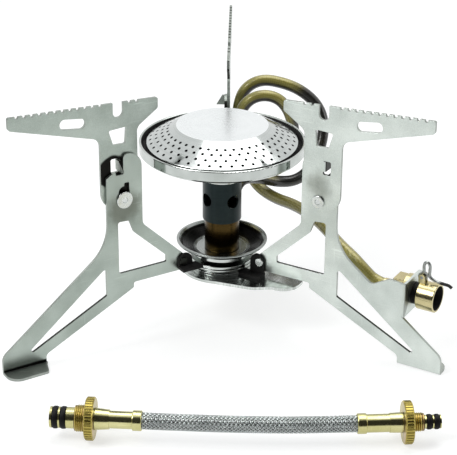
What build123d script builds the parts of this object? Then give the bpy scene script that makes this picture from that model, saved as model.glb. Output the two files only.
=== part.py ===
"""Canister stove on three folding legs, with its detachable link hose. Millimetres, +Z up.

The origin is the burner's axis at the level of the surface the feet stand on.
"""
from build123d import *
from math import atan2, cos, degrees, pi, radians, sin, tan
import os

os.makedirs("parts", exist_ok=True)

# Layout: the legs' directions around the burner, in degrees from +X.
LEFT_AZ = 212.9
RIGHT_AZ = 330.8
REAR_AZ = 90.0
FRAME_HUB_R = 20.5       # inner end of every leg plate
FOOT_IN_R = 97.4
FOOT_OUT_R = 119.6
FOOT_IN_Z = 4.63         # where the underside reaches the foot
FOOT_OUT_Z = 9.17        # where the outer edge reaches the toe

# Sheet parts.
LEG_T = 1.3
SUPPORT_T = 1.3
PLATE_GAP = 0.1          # between a leg and its pan support
POST_OUT_R = 63.0        # the leg's upright strip
POST_W = 18.8
POST_IN_R = POST_OUT_R - POST_W
POST_OUT_Z = 53.03       # where the post turns into the sloping outer edge
POST_TOP_Z = 97.8
POST_LOW_Z = 60.4        # where the inner edge turns towards the hub
HUB_Z = 37.4
LIP_W = 9.3              # foot flange
BAR_Z = 30.5             # underside of the leg's inner bar
BAR_END_R = 49.6
UNDER_Z = 27.73          # where the sloping underside starts, below the bar's end
STRIP_IN = 1.2           # from the post's outer edge to the foot window
STRIP_TOP = 10.0         # foot window to the outer edge, upright
STRIP_LOW = 6.32         # foot window to the underside, upright
STRIP_TOE = 7.76

# Rivet that carries each pan support.
RIVET_R = POST_OUT_R - 9.3
RIVET_Z = 74.9
RIVET_SHANK_R = 2.8
RIVET_BORE_R = 1.5
RIVET_HEAD_R = 4.2
RIVET_RING_R = 3.2
RIVET_HEAD_T = 0.8
SLOT_CLEARANCE = 0.1     # rivet in the leg's slot
PIVOT_CLEARANCE = 0.05   # rivet in the support
LIFT = 4.0               # how far a support lifts before it folds

# Pan support.
SUPPORT_IN_R = RIVET_R - 8.2
SUPPORT_OUT_R = RIVET_R + 11.3
SUPPORT_ARM_Z = 107.0    # underside of the arm at the upright
NOSE_R = 34.3
NOSE_TOP_Z = 121.9
TIP_R = 110.1
TIP_TOP_Z = 126.5
TIP_H = 6.1
NOSE_H = 5.2
TOOTH_PITCH = 3.77
TOOTH_FIRST_R = 45.3
TOOTH_COUNT = 17
TOOTH_R = 0.8
GROOVE_R = 55.2          # the deep notch among the teeth
GROOVE_W = 5.3
GROOVE_Z = 116.0
TAB_R = RIVET_R + 2.0    # locking tab, bent from the window's inner edge
TAB_Z = 90.6
TAB_H = 5.0
SHOULDER_CLEARANCE = 0.4  # between the swinging tab and the leg's shoulder

# Hub, from the bottom up.
NUT_AF = 13.0
NUT_Z = 19.5
NUT_H = 7.0
BASE_R = 20.5
BASE_T = 1.5
TONGUE_R = 44.0
TONGUE_END_R = 10.0
SHANK_R = 5.0
BORE_CLEARANCE = 0.1
SLEEVE_R = 6.5
RING_CLEARANCE = 0.05    # leg rings on the sleeve
RING_R = 15.5
RING_T = 1.5
RING_GAP = 0.3
ARM_W = 6.0
ARM_R = 25.5
LUG_T = 1.5
LUG_R = 3.8
LUG_MID_R = 21.5
LUG_RIVET_AHEAD = 1.3    # its rivet, outwards of the lug's middle
LUG_MID_Z = 35.4
LUG_RIVET_R = 1.5
LUG_HEAD_R = 2.2
LUG_HEAD_T = 0.6
WASHER_R = 10.5
WASHER_T = 0.5
WASHER_H = 1.4
SEAT_R = 14.0
SEAT_T = 1.5

# Preheat cup, gas block, jet and mixing tube.
PREHEAT_FLOOR_R = 13.0
PREHEAT_R = 22.3
PREHEAT_H = 5.7
PREHEAT_T = 0.8
BLOCK_R = 8.5
BLOCK_H = 16.1
BLOCK_IN_TUBE = 3.0
JET_BOSS_R = 6.0
JET_BOSS_H = 1.6
JET_AF = 6.0
JET_H = 4.0
JET_HOLE_R = 0.2
GAS_R = 1.0
GAS_Z = 47.5
TUBE_T = 1.0
TUBE_TOP_Z = 80.0
AIR_HOLE_R = 3.35
AIR_HOLE_Z = 64.6
AIR_HOLE_AZ = 37.5

# Burner.
CUP_R = 40.0
CUP_T = 1.2
CUP_TOP_Z = 94.1
CUP_WALL_H = 6.2
CUP_FLOOR_DROP = 7.5
COLLAR_H = 5.0
CAP_R = 36.5
CAP_Z = 93.4
CAP_H = 8.4
CAP_TOP_R = 22.1
CAP_T = 0.6
FLAME_HOLE_R = 0.75
FLAME_HOLES = 42
FLAME_ROWS = (0.29, 0.47, 0.67, 0.86)

# Inlet socket on the right leg, along the leg at this offset and height.
BRACKET_R = 99.5         # outer face of the leg's bent bracket
INLET_D = 10.5
INLET_Z = 33.4
INLET_BORE_R = 6.0
INLET_BORE_L = 8.0
INLET_COLLAR_R = 7.0
INLET_COLLAR_L = 8.9
INLET_GAP = 3.0          # bracket to collar, filled by the grommet
INLET_MOUTH_R = BRACKET_R + INLET_GAP + INLET_COLLAR_L
INLET_STEM_R = 4.2
BRACKET_TOP_Z = INLET_Z + 9.1
BRACKET_LOW_Z = INLET_Z - 8.4
BRACKET_W = 20.0
GROMMET_R = 5.3
UNION_AF = 14.0
UNION_FLANGE_R = 8.7
UNION_FLANGE_T = 3.0
UNION_L = 8.2
PIN_R = 0.8
WIRE_R = 0.75
LATCH_PIN_R = INLET_MOUTH_R - INLET_COLLAR_L + 0.9   # where the latch turns
LATCH_PIN_Z = INLET_Z + 9.7
HOOK_Z = INLET_Z + 8.1   # the latch's arm passes over the mouth here

# Fuel hose.
HOSE_R = 2.95
HOSE_BORE_R = 1.5
FERRULE_T = 0.6
FERRULE_L = 6.0
STUB_R = 1.4
HOSE_FAR_AZ = 76.0       # where it reaches the gas block
HOSE_FAR_R = 15.0
HOSE_ROUTE = [
    (68, -26.5, 39.5), (63.5, -22, 43), (57, -13, 45.5), (51.5, -2, 48), (44, 12, 49.5),
    (35.5, 25, 49), (26.5, 35.5, 47.5), (18.5, 43.5, 49.5), (12.5, 49, 56), (9, 52, 65),
    (7.5, 52.5, 75), (7.5, 52, 84.5), (9.3, 52, 91), (14, 52, 95.8), (20.5, 52, 97.5),
    (27, 52, 95.8), (31.8, 51.5, 91), (34.5, 51, 84), (36, 51, 76), (35.5, 51, 68),
    (32.5, 52, 60.5), (27, 53.5, 55.5), (20, 55.5, 54), (13.5, 58, 56.5), (9, 60.5, 62.5),
    (7, 62, 71), (6.5, 63, 80), (7, 63.5, 88), (9.2, 64.5, 94.5), (14, 65, 99),
    (20.5, 65.5, 100.8), (29, 65, 99.5), (37.5, 64.5, 96.5), (45, 62.5, 91.5), (49.5, 60, 85.5),
    (51, 57, 78.5), (50, 53, 71), (47, 49, 63.5), (42.5, 45.5, 57.5), (36.5, 43.5, 54),
    (29, 41.5, 54), (22, 38, 57), (15.5, 34, 59.8), (9.5, 30, 60.5), (6, 26.5, 56.5),
    (5.5, 23.5, 51),
]

# Link hose, lying along X in front of the stove.
LINK_Z = 9.6
LINK_BRAID_R = 3.85
LINK_LEFT = (-31.9, -118.1)
LINK_RIGHT = (61.5, -117.8)
LINK_MID = [(-8.0, -119.4), (15.0, -119.9), (39.0, -119.6)]
LINK_FERRULE_R = 4.55
LINK_FERRULE_L = 4.2
LINK_STEM_R = 2.6
LINK_BORE_R = 0.9
LINK_SEAL_T = 1.3
LINK_SEAL_W = 2.8
GRIP_CLEARANCE = 0.05
LEFT_GRIP = {"sleeve_r": 3.9, "sleeve_l": 10.0, "neck_r": 4.35, "body_r": 4.9, "body_l": 6.3,
             "grip_r": 9.6, "grip_l": 4.1, "thread_r": 5.7, "thread_l": 4.8, "land_r": 4.7,
             "nose_l": 10.9, "seal_r": 5.0, "seal_at": 5.0, "seal_pitch": 3.55}
RIGHT_GRIP = {"sleeve_r": 4.05, "sleeve_l": 10.0, "neck_r": 4.35, "body_r": 4.5, "body_l": 5.8,
              "grip_r": 9.6, "grip_l": 4.1, "thread_r": 3.95, "thread_l": 5.2, "land_r": 3.1,
              "nose_l": 7.5, "seal_r": 3.4, "seal_at": 2.3, "seal_pitch": 3.3}
SCALLOPS = 42            # around a grip
SCALLOP_R = 0.42


# ---- helpers ----
def leg_plane(azimuth):
    """Local X runs out along the leg, local Y up, local Z to the leg's clockwise side."""
    a = radians(azimuth)
    return Plane(origin=(0, 0, 0), x_dir=(cos(a), sin(a), 0), z_dir=(sin(a), -cos(a), 0))


def outline(corners):
    """Face from (x, y, fillet radius) corners."""
    return make_face(FilletPolyline(*[c[:2] for c in corners], radius=[c[2] for c in corners], close=True))


def plate(face, start, thickness):
    return Pos(0, 0, start) * extrude(face, thickness)


def rod(radius, low, high, x=0.0, y=0.0):
    """Cylinder along local Z."""
    return Pos(x, y, (low + high) / 2) * Cylinder(radius, high - low)


def ring(outer, inner, low, high):
    return rod(outer, low, high) - rod(inner, low - 1, high + 1)


def turned(points):
    """Solid of revolution about Z from (radius, height) points."""
    return revolve(make_face(Polyline(*[(r, 0, z) for r, z in points], close=True)), Axis.Z)


def box(x0, x1, y0, y1, z0, z1):
    return Pos((x0 + x1) / 2, (y0 + y1) / 2, (z0 + z1) / 2) * Box(x1 - x0, y1 - y0, z1 - z0)


def hexagon(across_flats, low, high):
    return Pos(0, 0, low) * extrude(RegularPolygon(across_flats / 2, 6, major_radius=False), high - low)


def rounded_path(points, share=0.45):
    """Straight runs joined by arcs, each as wide as the shorter run beside it allows."""
    points = [Vector(*p) for p in points]
    radii = []
    for before, here, after in zip(points, points[1:], points[2:]):
        half_turn = radians((here - before).get_angle(after - here)) / 2
        shorter = min((here - before).length, (after - here).length)
        radii.append(share * shorter / tan(half_turn))
    return FilletPolyline(*points, radius=radii), radii


def along(path, radius):
    return sweep(Plane(origin=path @ 0, z_dir=path % 0) * Circle(radius), path)


def save(name, shape):
    shape.label = name
    export_step(shape, f"parts/{name}.step")


# ---- leg plate ----
TAB_REACH = ((TAB_R - RIVET_R) ** 2 + (TAB_Z - RIVET_Z) ** 2) ** 0.5
SHOULDER_R = TAB_REACH - SHOULDER_CLEARANCE
LOCK_OUT_R = TAB_R + SUPPORT_T + 0.9
LOCK_IN_R = TAB_R - 1.8
LOCK_Z = TAB_Z - 2.7
SHOULDER_MID_R = POST_OUT_R - 2.4


def shoulder_z(r):
    """Top of the leg's outer shoulder, which the tab swings over."""
    return RIVET_Z + (SHOULDER_R ** 2 - (r - RIVET_R) ** 2) ** 0.5


def between(r, first_r, first_z, last_r, last_z):
    return first_z + (last_z - first_z) * (r - first_r) / (last_r - first_r)


def outer_edge_z(r):
    """The leg's sloping outer edge."""
    return between(r, POST_OUT_R, POST_OUT_Z, FOOT_OUT_R, FOOT_OUT_Z)


def under_edge_z(r):
    """The leg's sloping underside."""
    return between(r, BAR_END_R, UNDER_Z, FOOT_IN_R, FOOT_IN_Z)


def leg_face():
    face = outline([
        (FOOT_IN_R, 0, 0), (FOOT_OUT_R, 0, 0), (FOOT_OUT_R, FOOT_OUT_Z, 5.4),
        (POST_OUT_R, POST_OUT_Z, 22), (POST_OUT_R, shoulder_z(POST_OUT_R), 1.0),
        (SHOULDER_MID_R, shoulder_z(SHOULDER_MID_R), 2.0), (LOCK_OUT_R, shoulder_z(LOCK_OUT_R), 0.5),
        (LOCK_OUT_R, LOCK_Z, 0.6), (LOCK_IN_R, LOCK_Z, 0.6), (LOCK_IN_R, POST_TOP_Z, 2.2),
        (POST_IN_R, POST_TOP_Z, 7.3), (POST_IN_R, POST_LOW_Z, 4.0), (FRAME_HUB_R, HUB_Z, 1.0),
        (FRAME_HUB_R, BAR_Z, 1.0), (BAR_END_R, BAR_Z, 1.0), (BAR_END_R, UNDER_Z, 1.2),
        (FOOT_IN_R, FOOT_IN_Z, 2.5),
    ])
    strip_r, hub_end_r, bar_top_z = POST_OUT_R - 5.6, FRAME_HUB_R + 11.0, BAR_Z + 6.4
    face -= outline([
        (strip_r, POST_LOW_Z + 3.6, 1.2), (POST_IN_R + 7.2, POST_LOW_Z + 3.2, 1.2),
        (POST_IN_R + 4.8, POST_LOW_Z - 3.4, 3.5), (hub_end_r, HUB_Z + 2.9, 1.0),
        (hub_end_r, bar_top_z, 0.8), (strip_r, bar_top_z, 1.2),
    ])
    in_r, toe_r = POST_OUT_R + STRIP_IN, FOOT_OUT_R - STRIP_TOE
    face -= outline([
        (in_r, under_edge_z(in_r) + STRIP_LOW, 1.2), (in_r, outer_edge_z(in_r) - STRIP_TOP, 1.2),
        (toe_r, under_edge_z(toe_r) + STRIP_LOW, 1.05),
    ])
    slot_w = 2 * (RIVET_SHANK_R + SLOT_CLEARANCE)
    face -= Pos(RIVET_R, RIVET_Z + LIFT / 2) * Rot(0, 0, 90) * SlotOverall(slot_w + LIFT, slot_w)
    face -= Pos(RIVET_R - 1.4, RIVET_Z + 6.0) * RectangleRounded(2.6, 5.0, 0.6)
    face -= Pos(LUG_MID_R + LUG_RIVET_AHEAD, LUG_MID_Z) * Circle(LUG_RIVET_R)
    return face


def foot_lip():
    """Flange at the foot, bent to the leg's counter-clockwise side."""
    face = outline([
        (FOOT_IN_R, 0, 0), (FOOT_OUT_R, 0, 0), (FOOT_OUT_R, LIP_W, 6.0), (FOOT_IN_R + 3.2, LIP_W, 1.5),
    ])
    return Rot(90, 0, 0) * Rot(180, 0, 0) * extrude(face, LEG_T)


def bent_leg():
    leg = plate(leg_face(), 0, LEG_T) + box(FOOT_IN_R, FOOT_OUT_R, 0, LEG_T, -1, LEG_T)
    leg += foot_lip()
    bend = [e for e in leg.edges().filter_by(Axis.X)
            if abs(e.center().Y) < 0.01 and abs(e.center().Z - LEG_T) < 0.01]
    return fillet(bend, 1.2)


def bracket():
    """The right leg's extra sheet and bent face that carry the inlet."""
    face = outline([
        (BRACKET_R - 23.5, INLET_Z + 4.6, 0), (BRACKET_R - 16.4, INLET_Z + 5.4, 3.0),
        (BRACKET_R - 8.2, BRACKET_TOP_Z + 0.8, 2.5), (BRACKET_R, BRACKET_TOP_Z, 0),
        (BRACKET_R, BRACKET_LOW_Z, 0), (BRACKET_R - 9.5, BRACKET_LOW_Z + 3.0, 0),
    ])
    flange = box(BRACKET_R - LEG_T, BRACKET_R, BRACKET_LOW_Z, BRACKET_TOP_Z, -BRACKET_W, LEG_T)
    corners = [e for e in flange.edges().filter_by(Axis.X) if e.center().Z < 0]
    flange = fillet(corners, 4.0)
    shape = plate(face, 0, LEG_T) + flange
    fold = [e for e in shape.edges().filter_by(Axis.Y)
            if abs(e.center().X - BRACKET_R) < 0.01 and abs(e.center().Z - LEG_T) < 0.01]
    shape = fillet(fold, 1.2)
    hole = Pos(BRACKET_R, INLET_Z, -INLET_D) * Rot(0, 90, 0) * Cylinder(GROMMET_R, 4 * LEG_T)
    return shape - hole


leg = bent_leg()
right_leg = leg + bracket()
save("left_leg", leg_plane(LEFT_AZ) * leg)
save("rear_leg", leg_plane(REAR_AZ) * leg)
save("right_leg", leg_plane(RIGHT_AZ) * right_leg)


# ---- pan support and its rivet ----
SUPPORT_W = LEG_T + PLATE_GAP
RING_W = SUPPORT_W + SUPPORT_T + PLATE_GAP


def top_edge_z(r):
    return NOSE_TOP_Z + (TIP_TOP_Z - NOSE_TOP_Z) * (r - NOSE_R) / (TIP_R - NOSE_R)


def support_face():
    low = RIVET_Z - 4.9
    face = outline([
        (NOSE_R, NOSE_TOP_Z, 1.0), (TIP_R, TIP_TOP_Z, 0.8), (TIP_R, TIP_TOP_Z - TIP_H, 1.8),
        (SUPPORT_OUT_R, SUPPORT_ARM_Z, 5.0), (SUPPORT_OUT_R, low, 9.7), (SUPPORT_IN_R, low, 9.7),
        (SUPPORT_IN_R, SUPPORT_ARM_Z + 2.3, 4.0), (NOSE_R, NOSE_TOP_Z - NOSE_H, 1.5),
    ])
    face -= outline([
        (RIVET_R + 6.7, SUPPORT_ARM_Z + 3.3, 0.8), (RIVET_R - 2.6, SUPPORT_ARM_Z + 3.7, 0.8),
        (RIVET_R - 1.9, SUPPORT_ARM_Z - 4.5, 0.8), (RIVET_R + 4.4, SUPPORT_ARM_Z - 4.2, 0.8),
    ])
    face -= Pos(SUPPORT_OUT_R + 13.45, SUPPORT_ARM_Z + 10.3) * Rot(0, 0, 8.5) * SlotOverall(13, 4.9)
    face -= Pos(GROOVE_R, GROOVE_Z + 10) * RectangleRounded(GROOVE_W, 20, GROOVE_W / 2 - 0.01)
    window = TAB_R, TAB_R + 4.0, TAB_Z - 1.5, TAB_Z + TAB_H + 0.4
    face -= Pos((window[0] + window[1]) / 2, (window[2] + window[3]) / 2) * RectangleRounded(
        window[1] - window[0], window[3] - window[2], 0.8)
    for k in range(TOOTH_COUNT):
        r = TOOTH_FIRST_R + k * TOOTH_PITCH
        if abs(r - GROOVE_R) > GROOVE_W:
            face -= Pos(r, top_edge_z(r) - 0.3) * Circle(TOOTH_R)
    return face - Pos(RIVET_R, RIVET_Z) * Circle(RIVET_SHANK_R + PIVOT_CLEARANCE)


def lock_tab():
    """Tapered tab bent through the leg's lock slot."""
    far = SUPPORT_W + SUPPORT_T
    side = make_face(Polyline((0, TAB_Z, far), (0, TAB_Z, -4.2), (0, TAB_Z + TAB_H, -1.2),
                              (0, TAB_Z + TAB_H, far), close=True))
    tab = Pos(TAB_R, 0, 0) * extrude(side, SUPPORT_T, dir=(1, 0, 0))
    tab += box(TAB_R - 1, TAB_R + SUPPORT_T, TAB_Z, TAB_Z + TAB_H, SUPPORT_W, far)
    bend = [e for e in tab.edges().filter_by(Axis.Y)
            if abs(e.center().X - TAB_R - SUPPORT_T) < 0.01 and abs(e.center().Z - far) < 0.01]
    return fillet(bend, 1.1)


def support_rivet():
    head = rod(RIVET_HEAD_R, -PLATE_GAP - RIVET_HEAD_T, -PLATE_GAP, RIVET_R, RIVET_Z)
    shank = rod(RIVET_SHANK_R, -PLATE_GAP, RING_W, RIVET_R, RIVET_Z)
    rolled = rod(RIVET_RING_R, RING_W, RING_W + RIVET_HEAD_T, RIVET_R, RIVET_Z)
    bore = rod(RIVET_BORE_R, -5, 10, RIVET_R, RIVET_Z)
    rims = [e for e in (head + shank + rolled).edges().filter_by(GeomType.CIRCLE)
            if e.radius > RIVET_SHANK_R + 0.1 and not -0.5 < e.center().Z < RING_W + 0.1]
    return fillet(rims, 0.35) - bore


support = plate(support_face(), SUPPORT_W, SUPPORT_T) + lock_tab()
rivet = support_rivet()
for side, azimuth in (("left", LEFT_AZ), ("rear", REAR_AZ), ("right", RIGHT_AZ)):
    save(f"{side}_support", leg_plane(azimuth) * support)
    save(f"{side}_support_rivet", leg_plane(azimuth) * rivet)


# ---- hub ----
BASE_Z = NUT_Z + NUT_H
FIRST_RING_Z = BASE_Z + BASE_T
SECOND_RING_Z = FIRST_RING_Z + RING_T + RING_GAP
THIRD_RING_Z = SECOND_RING_Z + RING_T + RING_GAP
WASHER_Z = THIRD_RING_Z + RING_T + RING_GAP
SLEEVE_TOP_Z = WASHER_Z + WASHER_H + 0.2
PREHEAT_Z = SLEEVE_TOP_Z + SEAT_T
BLOCK_Z = PREHEAT_Z + PREHEAT_T
BLOCK_TOP_Z = BLOCK_Z + BLOCK_H
BORE_R = SHANK_R + BORE_CLEARANCE


def base_plate():
    half = TONGUE_END_R
    tongue = outline([
        (8, BASE_R - 1.5, 0), (26, 15.5, 12), (TONGUE_R - half, half, 0), (TONGUE_R, half, half - 1),
        (TONGUE_R, -half, half - 1), (TONGUE_R - half, -half, 0), (26, -15.5, 12), (8, 1.5 - BASE_R, 0),
    ])
    shape = extrude(Circle(BASE_R) + tongue - Circle(BORE_R), BASE_T)
    rims = [e for e in shape.edges() if abs(e.center().Z) < 0.01 and e.length > 2 * pi * BORE_R + 1]
    shape = Pos(0, 0, BASE_Z) * fillet(rims, 0.4)
    return Rot(0, 0, RIGHT_AZ) * shape


def leg_ring(azimuth, low, clockwise_side):
    """Collar on the hub sleeve, with an arm and an upright lug riveted to the leg."""
    start, end = (LEG_T, LEG_T + ARM_W) if clockwise_side else (-ARM_W, 0)
    arm = box(0, ARM_R, low, low + RING_T, start, end)
    lug_start = LEG_T if clockwise_side else -LUG_T
    lug_face = Pos(LUG_MID_R, LUG_MID_Z) * Circle(LUG_R)
    lug_face += Pos(LUG_MID_R, (low + LUG_MID_Z) / 2) * Rectangle(2 * LUG_R, LUG_MID_Z - low)
    lug_face -= Pos(LUG_MID_R + LUG_RIVET_AHEAD, LUG_MID_Z) * Circle(LUG_RIVET_R)
    bracket_part = leg_plane(azimuth) * (arm + plate(lug_face, lug_start, LUG_T))
    shape = ring(RING_R, SLEEVE_R + RING_CLEARANCE, low, low + RING_T) + bracket_part
    return shape - rod(SLEEVE_R + RING_CLEARANCE, low - 1, low + RING_T + 1)


def lug_rivet(azimuth, clockwise_side):
    low, high = (0, LEG_T + LUG_T) if clockwise_side else (-LUG_T, LEG_T)
    x, y = LUG_MID_R + LUG_RIVET_AHEAD, LUG_MID_Z
    shape = rod(LUG_RIVET_R, low, high, x, y)
    shape += rod(LUG_HEAD_R, low - LUG_HEAD_T, low, x, y) + rod(LUG_HEAD_R, high, high + LUG_HEAD_T, x, y)
    rims = [e for e in shape.edges().filter_by(GeomType.CIRCLE)
            if e.radius > LUG_RIVET_R + 0.1 and not low - 0.3 < e.center().Z < high + 0.3]
    return leg_plane(azimuth) * fillet(rims, 0.4)


for side, azimuth, low in (("right", RIGHT_AZ, FIRST_RING_Z), ("rear", REAR_AZ, SECOND_RING_Z),
                           ("left", LEFT_AZ, THIRD_RING_Z)):
    save(f"{side}_leg_ring", leg_ring(azimuth, low, side == "right"))
    save(f"{side}_leg_rivet", lug_rivet(azimuth, side == "right"))

save("base_plate", base_plate())
save("hub_nut", hexagon(NUT_AF, NUT_Z, BASE_Z) - rod(SHANK_R, NUT_Z - 1, BASE_Z + 1))
save("hub_sleeve", ring(SLEEVE_R, BORE_R, FIRST_RING_Z, SLEEVE_TOP_Z))
save("spring_washer", turned([
    (SLEEVE_R + BORE_CLEARANCE, WASHER_Z + WASHER_H), (SLEEVE_R + BORE_CLEARANCE, WASHER_Z + WASHER_H - WASHER_T),
    (WASHER_R, WASHER_Z), (WASHER_R, WASHER_Z + WASHER_T),
]))
save("cup_seat", ring(SEAT_R, BORE_R, SLEEVE_TOP_Z, PREHEAT_Z))


# ---- preheat cup, gas block, jet and mixing tube ----
def preheat_cup():
    rim_z = PREHEAT_Z + PREHEAT_H
    shape = turned([
        (BORE_R, PREHEAT_Z), (PREHEAT_FLOOR_R, PREHEAT_Z), (PREHEAT_R - 2.2, rim_z - 2.6),
        (PREHEAT_R, rim_z - PREHEAT_T), (PREHEAT_R, rim_z), (PREHEAT_R - 1.2, rim_z),
        (PREHEAT_R - 3.1, rim_z - 2.1), (PREHEAT_FLOOR_R - 0.5, BLOCK_Z), (BORE_R, BLOCK_Z),
    ])
    rims = [e for e in shape.edges().filter_by(GeomType.CIRCLE)
            if abs(e.radius - PREHEAT_R) < 0.01]
    return fillet(rims, 0.35)


def gas_block():
    shape = rod(SHANK_R, NUT_Z, BLOCK_Z) + rod(BLOCK_R, BLOCK_Z, BLOCK_TOP_Z + BLOCK_IN_TUBE)
    shape += rod(JET_BOSS_R, BLOCK_TOP_Z + BLOCK_IN_TUBE, JET_Z)
    foot_rim = [e for e in shape.edges().filter_by(GeomType.CIRCLE)
                if abs(e.radius - BLOCK_R) < 0.01 and abs(e.center().Z - BLOCK_Z) < 0.01]
    shape = fillet(foot_rim, 0.6)
    shape -= rod(GAS_R, GAS_Z, JET_Z + 1)
    return shape - stub_axis * rod(STUB_R, 0, BLOCK_R + 1) - stub_axis * Sphere(GAS_R)


JET_Z = BLOCK_TOP_Z + BLOCK_IN_TUBE + JET_BOSS_H
stub_axis = Rot(0, 0, HOSE_FAR_AZ) * Pos(0, 0, GAS_Z) * Rot(0, 90, 0)
jet = hexagon(JET_AF, JET_Z, JET_Z + JET_H - 1)
jet += Pos(0, 0, JET_Z + JET_H - 0.5) * Cone(JET_AF / 2 - 0.4, 1.0, 1.0)
jet -= rod(GAS_R, JET_Z - 1, JET_Z + JET_H - 1)
save("jet", jet - rod(JET_HOLE_R, JET_Z, JET_Z + JET_H + 1))
save("gas_block", gas_block())
save("preheat_cup", preheat_cup())

tube = ring(BLOCK_R + TUBE_T, BLOCK_R, BLOCK_TOP_Z, TUBE_TOP_Z)
for k in range(4):
    tube -= Rot(0, 0, AIR_HOLE_AZ + 90 * k) * Pos(BLOCK_R, 0, AIR_HOLE_Z) * Rot(0, 90, 0) * Cylinder(AIR_HOLE_R, 8)
save("mixing_tube", tube)


# ---- burner ----
def burner_cup():
    tube_r = BLOCK_R + TUBE_T
    neck_r = tube_r + CUP_T
    low = CUP_TOP_Z - CUP_WALL_H
    floor_z = low - CUP_FLOOR_DROP
    shape = turned([
        (tube_r, TUBE_TOP_Z - COLLAR_H), (neck_r, TUBE_TOP_Z - COLLAR_H), (neck_r, floor_z - CUP_T + 0.4),
        (CUP_R - 1.6, low), (CUP_R, low + 1.4), (CUP_R, CUP_TOP_Z), (CUP_R - CUP_T, CUP_TOP_Z),
        (CUP_R - CUP_T, low + 1.9), (CUP_R - 2.1, low + 1.2), (neck_r, floor_z + 0.5), (tube_r, floor_z + 0.2),
    ])
    rims = [e for e in shape.edges().filter_by(GeomType.CIRCLE)
            if e.radius > CUP_R - 0.01 or (e.radius > CUP_R - CUP_T - 0.01 and e.center().Z > CUP_TOP_Z - 0.1)]
    return fillet(rims, 0.55)


def cup_floor_z(r):
    """Inner floor of the burner cup."""
    low = CUP_TOP_Z - CUP_WALL_H
    neck_r = BLOCK_R + TUBE_T + CUP_T
    bottom = low - CUP_FLOOR_DROP + 0.5
    return bottom + (low + 1.2 - bottom) * (r - neck_r) / (CUP_R - 2.1 - neck_r)


def burner_cap():
    slope = atan2(CAP_H, CAP_R - CAP_TOP_R)
    lean = CAP_T * tan(slope / 2)
    shape = turned([
        (CAP_R, cup_floor_z(CAP_R)), (CAP_R, CAP_Z), (CAP_TOP_R, CAP_Z + CAP_H), (0, CAP_Z + CAP_H),
        (0, CAP_Z + CAP_H - CAP_T), (CAP_TOP_R - lean, CAP_Z + CAP_H - CAP_T),
        (CAP_R - CAP_T, CAP_Z - CAP_T * tan((pi / 2 - slope) / 2)), (CAP_R - CAP_T, cup_floor_z(CAP_R)),
    ])
    rims = [e for e in shape.edges().filter_by(GeomType.CIRCLE)
            if abs(e.radius - CAP_TOP_R) < 0.01 or (abs(e.radius - CAP_R) < 0.01 and e.center().Z > CAP_Z - 0.1)]
    shape = fillet(rims, 0.5)
    drills = []
    for row, fraction in enumerate(FLAME_ROWS):
        r = CAP_TOP_R + (CAP_R - CAP_TOP_R) * fraction
        z = CAP_Z + CAP_H * (1 - fraction)
        for k in range(FLAME_HOLES):
            turn = (k + 0.5 * (row % 2)) * 360 / FLAME_HOLES
            drills.append(Rot(0, 0, turn) * Pos(r, 0, z) * Rot(0, 90 - degrees(pi / 2 - slope), 0)
                          * Cylinder(FLAME_HOLE_R, 5 * CAP_T))
    return shape - drills


save("burner_cup", burner_cup())
save("burner_cap", burner_cap())


# ---- inlet socket and latch: local Z of inlet_axis runs out along the right leg ----
inlet_axis = leg_plane(RIGHT_AZ) * Pos(0, INLET_Z, -INLET_D) * Rot(0, 90, 0)
COLLAR_BACK_R = INLET_MOUTH_R - INLET_COLLAR_L
UNION_FACE_R = BRACKET_R - LEG_T
UNION_BACK_R = UNION_FACE_R - UNION_L
FERRULE_BACK_R = UNION_BACK_R - FERRULE_L
HOSE_IN_R = UNION_BACK_R - 1.0


def inlet_socket():
    shape = rod(INLET_STEM_R, UNION_BACK_R, COLLAR_BACK_R) + rod(INLET_COLLAR_R, COLLAR_BACK_R, INLET_MOUTH_R)
    outer = [e for e in shape.edges().filter_by(GeomType.CIRCLE) if abs(e.radius - INLET_COLLAR_R) < 0.01]
    shape = fillet(outer, 0.4)
    shape -= rod(INLET_BORE_R, INLET_MOUTH_R - INLET_BORE_L, INLET_MOUTH_R + 1)
    shape -= rod(STUB_R, UNION_BACK_R - 1, INLET_MOUTH_R)
    return inlet_axis * shape


def latch_ear():
    """Two cheeks on the collar that hold the latch's pin."""
    blank = outline([
        (LATCH_PIN_R - 1.6, INLET_Z + INLET_STEM_R, 0), (LATCH_PIN_R + 1.6, INLET_Z + INLET_STEM_R, 0),
        (LATCH_PIN_R + 1.6, LATCH_PIN_Z + 1.6, 1.5), (LATCH_PIN_R - 1.6, LATCH_PIN_Z + 1.6, 1.5),
    ])
    cheeks = plate(blank, -INLET_D - WIRE_R - 1.3, 1.1) + plate(blank, -INLET_D + WIRE_R + 0.2, 1.1)
    cheeks -= box(LATCH_PIN_R - 3, COLLAR_BACK_R, 30, INLET_Z + INLET_COLLAR_R, -30, 0)
    return leg_plane(RIGHT_AZ) * (cheeks - rod(PIN_R, -30, 0, LATCH_PIN_R, LATCH_PIN_Z))


def latch_wire():
    """Wire eye on the pin, a finger loop above it and an arm that hooks over the mouth."""
    half = WIRE_R + 0.1
    eye = rod(PIN_R + PIVOT_CLEARANCE + 1.5, -INLET_D - half, -INLET_D + half, LATCH_PIN_R, LATCH_PIN_Z)
    loop = [(0.3, 1.5), (0.0, 5.5), (0.5, 7.1), (1.6, 7.7), (2.7, 7.1), (3.2, 5.5), (3.0, 0.3)]
    arm = [(-1.8, 0.4), (2.3, 0.05), (5.0, 0.0), (6.6, -1.0)]
    path, _ = rounded_path([(LATCH_PIN_R + x, LATCH_PIN_Z + y, -INLET_D) for x, y in loop]
                           + [(INLET_MOUTH_R + x, HOOK_Z + y, -INLET_D) for x, y in arm])
    shape = eye + along(path, WIRE_R)
    return leg_plane(RIGHT_AZ) * (shape - rod(PIN_R + PIVOT_CLEARANCE, -30, 0, LATCH_PIN_R, LATCH_PIN_Z))


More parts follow.
